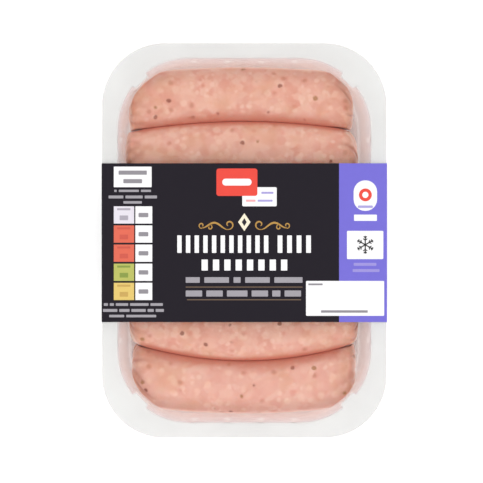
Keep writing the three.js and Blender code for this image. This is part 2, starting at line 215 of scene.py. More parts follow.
class Finish:
    """Builds one material; every call adds nodes and returns an output of the last."""

    def __init__(self, name, **settings):
        self.material = bpy.data.materials.new(name)
        self.material.use_nodes = True
        self.tree = self.material.node_tree
        self.shader = self.tree.nodes["Principled BSDF"]
        self.shade(**settings)

    def shade(self, **settings):
        """Sets sockets of the shader, each under its name with _ for a space."""
        for socket, value in settings.items():
            self.put(value, self.shader.inputs[socket.replace("_", " ")])

    def put(self, value, socket):
        if isinstance(value, bpy.types.NodeSocket):
            self.tree.links.new(value, socket)
        else:
            socket.default_value = value

    def add(self, kind, inputs, output=0, **settings):
        node = self.tree.nodes.new(f"ShaderNode{kind}")
        for key, value in settings.items():
            setattr(node, key, value)
        for socket, value in inputs.items():
            self.put(value, node.inputs[socket])
        return node.outputs[output]

    def maths(self, operation, first, second):
        return self.add("Math", {0: first, 1: second}, operation=operation)

    def times(self, first, second):
        return self.maths("MULTIPLY", first, second)

    def vector(self, operation, first, second):
        return self.add("VectorMath", {0: first, 1: second}, operation=operation)

    def scaled(self, place, scale):
        return self.add("VectorMath", {0: place, "Scale": scale}, operation="SCALE")

    def axis(self, place, index):
        return self.add("SeparateXYZ", {0: place}, index)

    def channel(self, colour, index):
        return self.add("SeparateColor", {0: colour}, index)

    def mix(self, share, first, second):
        """From the first colour to the second."""
        return self.add("Mix", {0: share, 6: first, 7: second}, 2, data_type="RGBA")

    def between(self, share, first, second):
        """From the first number to the second."""
        return self.add("Mix", {0: share, 2: first, 3: second}, data_type="FLOAT")

    def fit(self, value, low, high, to_low=0.0, to_high=1.0):
        """Takes low..high to to_low..to_high, with soft ends."""
        inputs = {
            "Value": value, "From Min": low, "From Max": high,
            "To Min": to_low, "To Max": to_high,
        }
        return self.add("MapRange", inputs, interpolation_type="SMOOTHSTEP")

    def millimetres(self):
        """The place on the piece, in millimetres."""
        return self.scaled(self.add("TexCoord", {}, "Object"), 1 / MM)

    def warped(self, place, size, reach):
        """The place, moved about by up to reach with a noise of that size."""
        push = self.vector("SUBTRACT", self.noise(place, size, output="Color"), (0.5, 0.5, 0.5))
        return self.vector("ADD", place, self.scaled(push, 2 * reach))

    def noise(self, place, size, detail=2.0, output="Fac"):
        inputs = {"Vector": place, "Scale": 1 / size, "Detail": detail}
        return self.add("TexNoise", inputs, output)

    def patches(self, place, size, detail, to_low=0.0, to_high=1.0):
        """Uneven soft patches of about that size."""
        return self.fit(self.noise(place, size, detail), 0.3, 0.7, to_low, to_high)

    def cells(self, place, size, output):
        return self.add("TexVoronoi", {"Vector": place, "Scale": 1 / size}, output)

    def soft_cells(self, place, size, smoothness, output):
        """Cells whose colours run into each other."""
        inputs = {"Vector": place, "Scale": 1 / size, "Smoothness": smoothness}
        return self.add("TexVoronoi", inputs, output, feature="SMOOTH_F1")

    def bits(self, place, size, radius, rarity, strength):
        """Soft round bits, one in some of the cells of that size; radius is a share of it."""
        spot = self.fit(self.cells(place, size, "Distance"), radius / 2, radius, 1, 0)
        lot = self.channel(self.cells(place, size, "Color"), 0)
        chosen = self.maths("GREATER_THAN", lot, rarity)
        return self.times(self.times(spot, chosen), strength)

    def marked(self, name):
        """The value that mark() left at the piece's points."""
        return self.add("Attribute", {}, "Fac", attribute_name=name)

    def facing(self):
        """0 where the surface is seen head on, near 1 where it is seen edge on."""
        return self.add("LayerWeight", {}, "Facing")

    def ramp(self, value, *stops):
        """Colours over value; each stop is (place, colour)."""
        node = self.tree.nodes.new("ShaderNodeValToRGB")
        elements = node.color_ramp.elements
        while len(elements) < len(stops):
            elements.new(0.5)
        for element, (place, colour) in zip(elements, stops):
            element.position = place
            element.color = colour
        self.put(value, node.inputs[0])
        return node.outputs[0]

    def bump(self, height, depth):
        """Raises the surface by depth millimetres where height is 1."""
        raised = self.add("Bump", {"Distance": depth * MM, "Height": height})
        self.shade(Normal=raised)


# ---- finishes ----
PURE_WHITE = (1, 1, 1, 1)
FLANGE_ALPHA = 0.5
BASE_ALPHA = 0.38
EDGE_ON_ALPHA = 0.46  # the wall where it is seen edge on
HEAD_ON_ALPHA = (0.1, 0.3)  # and head on, low in the well and near its mouth
FILM_ALPHA = (0.012, 0.2)  # head on and edge on


def clear_tray_finish():
    """Clear formed sheet: milky on the flange, clear in the walls but edge on, where a painted
    pink reflection of the meat and painted shade show.
    """
    finish = Finish("clear_tray", IOR=1.5)
    place = finish.millimetres()
    facing = finish.facing()
    height = finish.axis(place, 2)

    def below(start, end, to_low=0.0, to_high=1.0):
        """Comes in between two distances under the flange."""
        return finish.fit(height, FLANGE_TOP - start, FLANGE_TOP - end, to_low, to_high)

    in_well = below(0.3, 1.5)
    in_base = finish.fit(height, FOOT_TOP + FLOOR_FILLET + 1, FOOT_TOP + 1)
    flange = finish.mix(finish.patches(place, 22, 3), seen(225, 226, 224), seen(231, 232, 230))
    # Painted reflection of the meat: the wall is lilac near the mouth and pink from 2 to 18 mm
    # under the flange downwards.
    wall = finish.mix(below(2, 18), seen(246, 236, 240), seen(247, 213, 202))
    # Painted shade: greyer where the wall is seen edge on, fading in from 4 to 8 mm under the
    # flange.
    painted_edge_shade = finish.times(finish.fit(facing, 0.92, 0.99, 0, 0.6), below(4, 8))
    wall = finish.mix(painted_edge_shade, wall, seen(200, 198, 202))
    head_on = below(18, 13, *HEAD_ON_ALPHA)
    alpha = finish.between(finish.fit(facing, 0.45, 0.9), head_on, EDGE_ON_ALPHA)
    alpha = finish.between(in_base, alpha, BASE_ALPHA)
    finish.shade(
        Base_Color=finish.mix(in_well, flange, wall),
        Alpha=finish.between(in_well, FLANGE_ALPHA, alpha),
        Roughness=finish.patches(place, 6, 2, 0.1, 0.2),
    )
    finish.bump(finish.noise(place, 9), 0.05)
    return finish.material


def clear_film_finish():
    """Clear film that shows only by a faint gloss, more of it edge on."""
    finish = Finish("clear_film", IOR=1.5)
    place = finish.millimetres()
    finish.shade(
        Base_Color=finish.mix(finish.noise(place, 30), seen(244, 245, 246), seen(250, 250, 250)),
        Alpha=finish.fit(finish.facing(), 0.5, 0.98, *FILM_ALPHA),
        Roughness=finish.patches(place, 14, 2, 0.05, 0.12),
    )
    finish.bump(finish.noise(place, 18, 1), 0.06)
    return finish.material


# Bits in the mince: the size of the cells they lie in, their radius as a share of it,
# how rare they are, their strength and their colour.
FAT_AND_LEAN = (
    (5.6, 0.42, 0.62, 0.46, (248, 206, 184)),
    (3.6, 0.44, 0.66, 0.42, (250, 212, 192)),
    (1.9, 0.46, 0.76, 0.12, (250, 212, 194)),
    (5.0, 0.44, 0.66, 0.34, (222, 134, 116)),
)
HERBS = (
    (6.0, 0.24, 0.80, 0.78, (140, 54, 16)),
    (5.0, 0.28, 0.70, 0.42, (192, 120, 84)),
    (7.0, 0.22, 0.82, 0.72, (166, 106, 34)),
)


def raw_pork_finish():
    """Coarse pink mince with pale fat, darker lean and herb flecks, under a moist skin; with
    painted shade along the flanks beside a neighbour, in the seams and in the creases, a painted
    sheen edge on, and painted light towards the near end of the pack.
    """
    finish = Finish(
        "raw_pork", Subsurface_Radius=(1.0, 0.35, 0.22), Subsurface_Scale=0.003, IOR=1.4,
        Coat_Weight=0.2, Coat_Roughness=0.25,
    )
    place = finish.millimetres()
    mince = finish.warped(place, 2.4, 0.7)
    coarse = finish.channel(finish.soft_cells(mince, 3.4, 0.5, "Color"), 0)
    meat = finish.ramp(
        coarse,
        (0.15, seen(228, 160, 138)),
        (0.50, seen(233, 172, 150)),
        (0.85, seen(238, 185, 164)),
    )
    flank_shade, seam = finish.marked("flank_shade"), finish.marked("seam")

    def lay(share, *colour):
        nonlocal meat
        meat = finish.mix(share, meat, seen(*colour))

    def lay_bits(kinds):
        for size, radius, rarity, strength, colour in kinds:
            lay(finish.bits(mince, size, radius, rarity, strength), *colour)

    lay(finish.fit(finish.noise(place, 9), 0.35, 0.65, 0, 0.45), 239, 187, 167)
    # Painted light: the sausages are lighter towards the near end of the pack.
    painted_light_near_end = finish.fit(finish.axis(place, 1), -40, -70, 0, 0.4)
    lay(painted_light_near_end, 240, 186, 172)
    lay_bits(FAT_AND_LEAN)
    lay(finish.fit(finish.noise(place, 12), 0.48, 0.72, 0, 0.45), 224, 164, 128)
    casing = finish.fit(finish.noise(mince, 4), 0.35, 0.65, 0.25, 0.8)
    lay(finish.times(casing, finish.marked("end")), 208, 142, 110)
    lay_bits(HERBS)
    # Painted shade in the creases of the skin near the ends.
    lay(finish.times(finish.marked("fold"), 0.6), 186, 102, 80)
    # Painted sheen: paler where the skin is seen edge on, but not on the flanks beside a
    # neighbour.
    painted_edge_sheen = finish.fit(finish.facing(), 0.55, 0.95, 0, 0.55)
    lay(finish.times(painted_edge_sheen, finish.maths("SUBTRACT", 1, flank_shade)), 252, 212, 190)
    # Painted shade, reddened, along the flanks beside a neighbour.
    lay(finish.times(flank_shade, 0.85), 212, 128, 104)
    # Painted shade, dark red, in the seam where two sausages meet.
    lay(finish.times(seam, 0.85), 208, 108, 82)
    # Little light comes through where two sausages meet.
    finish.shade(
        Base_Color=meat,
        Subsurface_Weight=finish.between(seam, 0.6, 0.1),
        Roughness=finish.patches(place, 5, 2, 0.36, 0.5),
    )
    finish.bump(finish.maths("ADD", coarse, finish.noise(mince, 1.1)), 0.13)
    return finish.material


BLACK = (36, 32, 40)
INK_LEVELS = {
    "white": (255, 254, 255),
    "dim_white": (165, 161, 168),
    "grey": (150, 146, 152),
    "charcoal": (66, 66, 66),
    "black": BLACK,
    "purple": (120, 111, 216),
    "pale_purple": (160, 150, 222),
    "lilac": (176, 168, 226),
    "pink": (250, 176, 180),
    "red": (240, 76, 63),
    "coral": (230, 108, 85),
    "coral_mark": (212, 92, 76),
    "green": (189, 192, 99),
    "green_mark": (140, 158, 72),
    "yellow": (232, 202, 114),
    "yellow_mark": (206, 170, 92),
    "pale_lilac": (234, 228, 238),
    "pale_lilac_mark": (178, 172, 184),
    "cream": (250, 240, 215),
    "gold": (190, 146, 74),
    "dim_gold": (112, 92, 74),
}


def printed_finish(name, colour, roughness=0.5, sheen=0.25):
    """Ink on board: a faintly uneven colour over the board's fine grain."""
    finish = Finish(name, Specular_IOR_Level=sheen)
    place = finish.millimetres()
    darker = tuple(0.975 * level for level in colour[:3]) + (1.0,)
    finish.shade(
        Base_Color=finish.mix(finish.patches(place, 4, 3), darker, colour),
        Roughness=finish.patches(place, 2, 2, roughness - 0.05, roughness + 0.05),
    )
    finish.bump(finish.noise(place, 0.5), 0.01)
    return finish.material


def card_finish():
    """The board's unprinted inside, with short fibres."""
    finish = Finish("board_inside", Specular_IOR_Level=0.2)
    fibre = finish.noise(finish.warped(finish.millimetres(), 0.8, 0.5), 0.5, 3)
    colour = finish.mix(finish.fit(fibre, 0.3, 0.7), seen(198, 192, 182), seen(222, 217, 208))
    finish.shade(Base_Color=colour, Roughness=finish.fit(fibre, 0.3, 0.7, 0.75, 0.9))
    finish.bump(fibre, 0.03)
    return finish.material


# ---- the tray ----
CORNER_STATIONS = 46
LUG_SIDE_STATIONS = 9
STATION_STEP = 0.7
ROLL_STEPS = 6
WALL_STEPS = 36
FILLET_STEPS = 8
RISE_STEPS = 6


def flute_share(offset, count):
    """How much of a flute the wall has at an offset along a side."""
    nearest = np.round(offset / FLUTE_PITCH + (count - 1) / 2)
    middle = (np.clip(nearest, 0, count - 1) - (count - 1) / 2) * FLUTE_PITCH
    return smoothstep((FLUTE_HALF - np.abs(offset - middle)) / (FLUTE_HALF - FLUTE_FLAT))


def lug_angles():
    """Half the angle that a lug's face takes up at the corner's centre, and its root."""
    return math.atan(LUG_FACE / (MOUTH_CORNER - LUG_DEPTH)), math.atan(LUG_ROOT / MOUTH_CORNER)


def corner_turns():
    """Angles round one corner, closer together at the sides of its lug."""
    face, root = lug_angles()
    lug_side = np.linspace(0.9 * face, 1.1 * root, LUG_SIDE_STATIONS)
    even = np.linspace(0, math.pi / 2, CORNER_STATIONS, endpoint=False)
    turns = np.concatenate([even, math.pi / 4 - lug_side, math.pi / 4 + lug_side])
    return np.unique(np.round(turns, 4))


def well_stations():
    """Stations round the well, as columns: the spine's x and y, the way the wall faces, the
    shares of a flute and of a lug there, and how flat the lug's face makes the corner."""
    face, root = lug_angles()
    stations = []
    for quarter, (sx, sy) in enumerate([(1, 1), (-1, 1), (-1, -1), (1, -1)]):
        start = quarter * math.pi / 2
        on_end = quarter % 2 == 0
        for turn in corner_turns():
            off = abs(turn - math.pi / 4)
            lug = float(smoothstep((root - off) / (root - face)))
            chord = math.cos(face) / math.cos(min(off, face))
            stations.append((sx * SPINE_X, sy * SPINE_Y, start + turn, 0, lug, chord))
        half = SPINE_X if on_end else SPINE_Y
        count = END_FLUTES if on_end else SIDE_FLUTES
        for at in np.linspace(-half, half, int(2 * half / STATION_STEP), endpoint=False):
            x = -sx * at if on_end else sx * SPINE_X
            y = sy * SPINE_Y if on_end else -sy * at
            stations.append((x, y, start + math.pi / 2, float(flute_share(at, count)), 0, 1))
    return np.array(stations).T


def wall_inset(z):
    """Distance of the inside of the wall in from the mouth, at a height."""
    drafted = (FLANGE_TOP - z) * math.tan(WALL_DRAFT)
    into_fillet = np.maximum(0, FOOT_TOP + FLOOR_FILLET - z)
    across = np.sqrt(np.maximum(0, FLOOR_FILLET ** 2 - into_fillet ** 2))
    return drafted + np.where(into_fillet > 0, FLOOR_FILLET - across, 0)


def flute_depth(z):
    below_start = (FLANGE_TOP - FLUTE_TOP - z) / FLUTE_RUNOUT
    above_end = (z - FLANGE_TOP + FLUTE_END) / (FLUTE_END - FLUTE_FADE)
    return FLUTE_DEPTH * smoothstep(np.minimum(below_start, above_end))


def well_profile():
    """The inside of the tray from its flange to its base, as rows of inset and height."""
    roll = np.linspace(0, math.pi / 2, ROLL_STEPS)
    flange = [(-2 * MOUTH_ROLL, FLANGE_TOP)]
    mouth = zip(MOUTH_ROLL * (np.sin(roll) - 1), FLANGE_TOP - MOUTH_ROLL * (1 - np.cos(roll)))
    heights = np.linspace(FLANGE_TOP - 1.5 * MOUTH_ROLL, FOOT_TOP + FLOOR_FILLET, WALL_STEPS)
    turns = np.linspace(0.1, 1, FILLET_STEPS) * math.pi / 2
    fillet = FOOT_TOP + FLOOR_FILLET * (1 - np.sin(turns))
    wall = [(float(wall_inset(z)), z) for z in [*heights, *fillet]]
    step = np.linspace(0, 1, RISE_STEPS)
    band_end = float(wall_inset(FOOT_TOP)) + FOOT_BAND
    rise = zip(band_end + BASE_SLOPE * step, FOOT_TOP + BASE_RISE * smoothstep(step))
    base = [(band_end + BASE_SLOPE + 1, FOOT_TOP + BASE_RISE)]
    return np.array([*flange, *mouth, *wall, *rise, *base])


def well_rings(stations, face, inside):
    """Rings of one face of the well, one for each row of its profile. The flutes and lugs
    are as the inside has them there, so the sheet keeps its thickness."""
    x, y, turn, flute, lug, chord = stations
    (inset, z), (inside_inset, inside_z) = face.T[..., None], inside.T[..., None]
    lug_depth = np.maximum(0, LUG_DEPTH - np.maximum(0, inside_inset))
    reach = MOUTH_CORNER - inset + flute * flute_depth(inside_z)
    reach = reach * (1 + (chord - 1) * (lug_depth > 0) * lug) - lug * lug_depth
    across = x + reach * np.cos(turn)
    along = y + reach * np.sin(turn)
    return np.stack([across, along, np.broadcast_to(z, across.shape)], axis=2)


def flange_ring(stations, z, inset):
    x, y, turn = stations[:3]
    reach = FLANGE_CORNER - inset
    across = x / SPINE_X * FLANGE_SPINE_X + reach * np.cos(turn)
    along = y / SPINE_Y * FLANGE_SPINE_Y + reach * np.sin(turn)
    return np.stack([across, along, np.full_like(across, z)], axis=1)


def make_tray(material):
    stations = well_stations()
    profile = well_profile()
    tangent = np.gradient(profile, axis=0)
    tangent[0] = (1, 0)
    tangent /= np.linalg.norm(tangent, axis=1)[:, None]
    skin = profile + TRAY_SHEET * np.stack([tangent[:, 1], -tangent[:, 0]], axis=1)
    inside = well_rings(stations, profile, profile)
    outside = well_rings(stations, skin, profile)

    top = flange_ring(stations, FLANGE_TOP, EDGE_ROUND)
    under = flange_ring(stations, FLANGE_TOP - TRAY_SHEET, EDGE_ROUND)
    edge = [
        (inside[0] + top) / 2,
        top,
        flange_ring(stations, FLANGE_TOP - EDGE_ROUND, 0),
        flange_ring(stations, FLANGE_TOP - TRAY_SHEET + EDGE_ROUND, 0),
        under,
        (outside[0] + under) / 2,
    ]
    rows = np.concatenate([inside[::-1], np.array(edge), outside])
    base_top = FOOT_TOP + BASE_RISE
    points, faces = closed_loft(rows, (0, 0, base_top), (0, 0, base_top - TRAY_SHEET))
    make_piece("clear_tray", points, faces, [material], ["tray"])


# ---- the lidding film ----
FILM_SLACK = 0.3  # deepest sag between the walls
FILM_RIPPLE = 28.0  # size of its soft ripples
FILM_TAUT = 18.0  # how far in from the walls it is held tighter
FILM_RINGS = 26
FILM_CORE = 0.03  # size of its innermost ring as a share of its outline


def make_film(material):
    stations = well_stations()
    thickness = film_high[2] - film_low[2]
    outline = flange_ring(stations, film_low[2], tray_high[1] - film_high[1])
    shares = np.linspace(1, FILM_CORE, FILM_RINGS)
    rows = np.array([outline * (share, share, 1) for share in shares])
    beyond_x = np.maximum(0, np.abs(rows[..., 0]) - SPINE_X)
    beyond_y = np.maximum(0, np.abs(rows[..., 1]) - SPINE_Y)
    into_well = MOUTH_CORNER - np.hypot(beyond_x, beyond_y)
    ripple = np.array([
        [0.5 + 0.5 * noise.noise(Vector(point) / FILM_RIPPLE) for point in row] for row in rows
    ])
    under = rows.copy()
    under[..., 2] -= FILM_SLACK * smoothstep(into_well / FILM_TAUT) * ripple
    over = under.copy()
    over[..., 2] += thickness
    centre = under[-1].mean(axis=0)
    closed = np.concatenate([under[::-1], over])
    points, faces = closed_loft(closed, centre, centre + (0, 0, thickness))
    make_piece("lidding_film", points, faces, [material], ["film"])


# ---- the sausages ----
# The first sausage's outer side, the seams between neighbours and the last one's outer
# side, from the far end of the pack to the near one: the place along Y at the middle of
# the pack, and how far it has bent towards the middle at BEND_REACH to either side.
BEND_REACH = 50.0
SEAMS = [
    (84.6, 2.5), (57.8, 3.9), (28.8, 1.5), (-0.4, -1.2),
    (-29.6, -4.0), (-58.4, -7.1), (-84.6, -3.4),
]

# Each sausage: its left and right ends, its height, and the rounding of the four
# corners of its outline as (along X, along Y): left far, left near, right far, right
# near, where far is +Y.
SAUSAGES = [
    (-56.6, 53.4, 26.4, (4, 8), (3, 7), (13, 17), (4, 6)),
    (-58.4, 55.8, 27.0, (4, 9), (4, 9), (10, 13), (4, 8)),
    (-56.9, 54.9, 26.6, (5, 9), (4, 8), (4, 9), (5, 9)),
    (-57.2, 54.2, 26.2, (4, 8), (5, 10), (5, 9), (4, 8)),
    (-56.8, 56.0, 27.2, (4, 9), (7, 12), (4, 8), (4, 8)),
    (-55.1, 54.6, 26.0, (6, 9), (13, 16), (4, 7), (6, 10)),
]
LAST = len(SAUSAGES) - 1
SAUSAGE_SIDES = 116
BODY_STEPS = 150
ROUNDING_STEPS = 18
FACE_STEPS = 12
CREASES = 13  # folds of skin drawn in to each end
CREASE_SHIFT = 0.35  # how unevenly they are spread
CREASE_WIDTH = (0.05, 0.1)  # radians
CREASE_DEPTH = (0.3, 0.85)
CREASE_LENGTHS = (2.5, 4.0, 6.0, 8.0)
CREASE_LEAN = 0.04  # radians to a millimetre, at most
DEEP_CREASE = 0.7  # a crease this deep has its full painted shade
SWELLS = ((11.0, 0.34), (5.0, 0.2), (2.9, 0.14))  # size and depth of the mince's lumps
SWELL_SHIFT = (9.1, 3.7, 5.3)

# Where the lumps even out against a neighbour and the painted shade along its flanks and in the
# seam begin, and where they are full: by the distance from the nearer end, and by how squarely the
# surface faces along the pack.
FLANK_FROM_END = (5, 10)
SEAM_FROM_END = (1, 5)
EVEN_FLANK = (0.75, 0.95)
SEAM_FLANK = (0.76, 0.9)
FLANK_SHADE_TOWARDS_MIDDLE = 0.25
FLANK_SHADE_AWAY = 0.65
FLANK_SHADE_FULL = 0.85
CASING_REACH = 12  # how far in from an end the drawn skin shows


def seam_at(seam, x):
    middle, bend = seam
    return middle - bend * (x / BEND_REACH) ** 2


def signed_power(value, power):
    return np.sign(value) * np.abs(value) ** power


def inside_well(points):
    """Soft meat gives way to the tray: a point past the wall is moved back to it."""
    x, y, z = points[..., 0], points[..., 1], points[..., 2]
    inset = wall_inset(z) + WALL_GAP
    beyond_x, beyond_y = np.abs(x) - SPINE_X, np.abs(y) - SPINE_Y
    in_corner = (beyond_x > 0) & (beyond_y > 0)
    corner_reach = MOUTH_CORNER - np.maximum(inset, LUG_DEPTH + WALL_GAP)
    scale = np.minimum(1, corner_reach / np.maximum(np.hypot(beyond_x, beyond_y), 0.01))
    reach = MOUTH_CORNER - inset

    def moved(value, spine, beyond):
        beside_corner = np.clip(value, -spine - reach, spine + reach)
        return np.where(in_corner, np.sign(value) * (spine + beyond * scale), beside_corner)

    return np.stack([moved(x, SPINE_X, beyond_x), moved(y, SPINE_Y, beyond_y), z], axis=-1)


def sausage_ring(index, x, side, rounding, scale, around):
    """One ring; rounding runs from 0 on the body to 1 at the end face, where scale shrinks it."""
    left, right, height, *ends = SAUSAGES[index]
    end, (far, near) = (left, ends[:2]) if side < 0 else (right, ends[2:])
    turn = rounding * math.pi / 2
    pulled_in = 1 - math.cos(turn)
    across = signed_power(np.cos(around), 2 / SECTION_POWER)
    up = signed_power(np.sin(around), 2 / SECTION_POWER)
    along = np.full_like(across, x)
    if rounding > 0:
        end_reach = near[0] + (far[0] - near[0]) * (0.5 + 0.5 * across)
        along = end - side * end_reach * (1 - math.sin(turn))
    far_edge = seam_at(SEAMS[index], along) - SEAM_GAP / 2
    near_edge = seam_at(SEAMS[index + 1], along) + SEAM_GAP / 2
    under = UNDER_PRESS * (1 - pulled_in) * ease(-up, *UNDER_HALF)
    far_side = far_edge - far[1] * pulled_in * (1 - under * (index > 0))
    near_side = near_edge + near[1] * pulled_in * (1 - under * (index < LAST))
    lump_phase = 2 * math.pi * along / LUMP_LENGTH + LUMP_SHIFT * index + LUMP_TURNS * around
    lump = LUMP_DEPTH * (0.5 + 0.5 * np.sin(lump_phase))
    pleat = PLEAT_DEPTH * pulled_in * (0.5 + 0.5 * np.cos(PUCKER_PLEATS * around + index))
    has_neighbour = np.where(across > 0, index > 0, index < LAST)
    room = (far_side - near_side) / 2 * (1 + PRESS * has_neighbour * (1 - pulled_in ** 2))
    wide = (room - pleat) * scale
    high = (height / 2 - END_RISE * pulled_in - pleat - lump) * scale
    ring = np.stack([
        along,
        np.clip((far_side + near_side) / 2 + wide * across, near_edge, far_edge),
        SAUSAGE_UNDER + height / 2 + high * up,
    ], axis=1)
    ring = inside_well(ring)
    ring[:, 0] -= side * dimple_depth(scale)
    return ring


def dimple_depth(scale):
    """The end face draws in to its middle, where a nub of twisted skin stands."""
    nub = NUB_HEIGHT * math.exp(-((scale / NUB_SHARE) ** 2))
    return PUCKER_DEPTH * (1 - scale) ** 1.3 - nub


def sausage_rows(index):
    """Each row as (x, side, rounding, scale), from the left tip to the right one."""
    left, right, _, left_far, left_near, right_far, right_near = SAUSAGES[index]
    body_left = left + max(left_far[0], left_near[0])
    body_right = right - max(right_far[0], right_near[0])
    places = np.linspace(body_left, body_right, BODY_STEPS)
    body = [(x, -1 if x < 0 else 1, 0, 1) for x in places]

    def end_rows(end, side):
        scales = np.linspace(0.05, 1, FACE_STEPS, endpoint=False)
        roundings = np.linspace(1, 0, ROUNDING_STEPS, endpoint=False)
        return [(end, side, 1, s) for s in scales] + [(end, side, r, 1) for r in roundings]

    return end_rows(left, -1) + body + end_rows(right, 1)[::-1]


def surface_normals(rows):
    """Outward normals of a grid of rings that runs along +X."""
    round_step = np.roll(rows, -1, axis=1) - np.roll(rows, 1, axis=1)
    along_step = np.gradient(rows, axis=0)
    normals = np.cross(round_step, along_step)
    length = np.linalg.norm(normals, axis=2, keepdims=True)
    return normals / np.maximum(length, 1e-9)


def crease_depths(index, side, around, from_end):
    """Folds of skin that run back from an end; from_end is the distance from it."""
    draw = random.Random(17 * index + (5 if side > 0 else 3))
    depth = np.zeros(np.broadcast(around, from_end).shape)
    for fold in range(CREASES):
        place = 2 * math.pi * (fold + draw.uniform(-CREASE_SHIFT, CREASE_SHIFT)) / CREASES
        width = draw.uniform(*CREASE_WIDTH)
        deep = draw.uniform(*CREASE_DEPTH)
        length = draw.choice(CREASE_LENGTHS)
        lean = draw.uniform(-CREASE_LEAN, CREASE_LEAN)
        offset = np.angle(np.exp(1j * (around - place - lean * from_end)))
        depth += deep * np.exp(-((offset / width) ** 2)) * np.exp(-((from_end / length) ** 2))
    return depth


def swell_depth(point, index):
    """Uneven mince under the skin, as a depth below the sausage's own form."""
    total = 0.0
    by_index, *rest = SWELL_SHIFT
    for size, depth in SWELLS:
        shifted = Vector(point) / size + Vector((by_index * index, *rest))
        total += depth * (0.5 + 0.5 * noise.noise(shifted))
    return total


def make_sausage(index, material):
    left, right = SAUSAGES[index][:2]
    around = 2 * math.pi * (np.arange(SAUSAGE_SIDES) + 0.5) / SAUSAGE_SIDES
    plan = sausage_rows(index)
    rows = np.array([sausage_ring(index, *row, around) for row in plan])
    normals = surface_normals(rows)
    settle = smoothstep(2 * np.array([row[3] for row in plan]))[:, None]
    along, sideways = rows[..., 0], normals[..., 1]
    steep = np.abs(sideways)
    from_end = np.minimum(along - left, right - along)
    flank = ease(from_end, *FLANK_FROM_END)

    swell = np.array([[swell_depth(point, index) for point in ring] for ring in rows])
    swell *= 1 - ease(steep, *EVEN_FLANK) * flank
    folds = crease_depths(index, -1, around, along - left)
    folds += crease_depths(index, 1, around, right - along)
    points = rows - normals * ((swell + folds) * settle)[..., None]
    tip_rise = np.array([TIP_RISE, 0, 0])
    tips = points[0].mean(axis=0) - tip_rise, points[-1].mean(axis=0) + tip_rise

    has_neighbour = np.where(sideways > 0, index > 0, index < LAST)
    # Painted shade along a flank beside a neighbour reaches further up on flanks that face the
    # middle of the pack.
    faces_middle = (sideways < 0) == (2 * index < len(SAUSAGES))
    flank_shade_from = np.where(faces_middle, FLANK_SHADE_TOWARDS_MIDDLE, FLANK_SHADE_AWAY)
    flank_shade = ease(steep, flank_shade_from, FLANK_SHADE_FULL) * flank
    seam = ease(steep, *SEAM_FLANK) * ease(from_end, *SEAM_FROM_END)
    # The marks carry painted shade along the flanks beside a neighbour, in the seams and in the
    # creases; end marks the drawn skin's own colour.
    marks = {
        "flank_shade": (flank_shade * has_neighbour, 0),
        "seam": (seam * has_neighbour, 0),
        "fold": (np.clip(folds / DEEP_CREASE, 0, 1) * settle, 0),
        "end": (smoothstep(1 - from_end / CASING_REACH), 1),
    }
    node = f"sausage_{index + 1}"
    points, faces = closed_loft(points, *tips)
    sausage = make_piece(f"{node}_skin", points, faces, [material], [node], sharp=80)
    for name, (values, at_tips) in marks.items():
        mark(sausage, name, [*values.ravel(), at_tips, at_tips])


# ---- the sleeve ----
INK_ROOM = 0.05  # kept free for the ink inside the solid's box
SLEEVE_TOP = sleeve_high[2] - INK_ROOM
SIDE_TOP = sleeve_high[0] - INK_ROOM
SIDE_BASE = 59.25
FLAP_HEIGHT = 0.5

# The board's outside face in X and Z, from the inner glue flap under the pack round
# to the outer one, as (x, z, radius of the fold there).
SLEEVE_PATH = [
    (-10.0, FLAP_HEIGHT, 0), (11.5, FLAP_HEIGHT, 8), (17.0, 0, 8),
    (SIDE_BASE, 0, FOLD_RADIUS), (SIDE_TOP, SLEEVE_TOP, FOLD_RADIUS),
    (-SIDE_TOP, SLEEVE_TOP, FOLD_RADIUS), (-SIDE_BASE, 0, FOLD_RADIUS), (10.8, 0, 0),
]
PURPLE_EDGE = 45.6  # the purple panel runs from here to the right
PURPLE_PATH = [
    (SIDE_BASE, 0, 0), (SIDE_TOP, SLEEVE_TOP, FOLD_RADIUS), (PURPLE_EDGE, SLEEVE_TOP, 0),
]
FOLD_ANGLE_STEP = math.radians(12)


def folded_path(path):
    """The path's points with an arc at each fold, and the outward normal at each."""
    places = np.array([(x, z) for x, z, _ in path])
    ways = np.diff(places, axis=0)
    ways /= np.linalg.norm(ways, axis=1)[:, None]
    points, normals = [], []
    for k, (corner, (_, _, radius)) in enumerate(zip(places, path)):
        before, after = ways[max(k - 1, 0)], ways[min(k, len(ways) - 1)]
        turn = math.atan2(before[0] * after[1] - before[1] * after[0], before @ after)
        start = corner - before * radius * math.tan(abs(turn) / 2)
        inwards = np.array([-before[1], before[0]]) * np.sign(turn)
        centre = start + inwards * radius
        steps = max(2, int(abs(turn) / FOLD_ANGLE_STEP) + 1) if turn else 0
        for angle in np.linspace(0, turn, steps + 1):
            cosine, sine = math.cos(angle), math.sin(angle)
            spin = np.array([[cosine, -sine], [sine, cosine]])
            points.append(centre + spin @ (start - centre))
            way = spin @ before
            normals.append(np.array([way[1], -way[0]]))
    return points, normals


def folded_sheet(path, outer, inner):
    """A closed sheet between two offsets from a path, as broad as the sleeve."""
    sections = []
    for point, normal in zip(*folded_path(path)):
        (outer_x, outer_z), (inner_x, inner_z) = point + normal * outer, point + normal * inner
        sections.append([
            (outer_x, sleeve_low[1], outer_z), (outer_x, sleeve_high[1], outer_z),
            (inner_x, sleeve_high[1], inner_z), (inner_x, sleeve_low[1], inner_z),
        ])
    return closed_bar(sections)


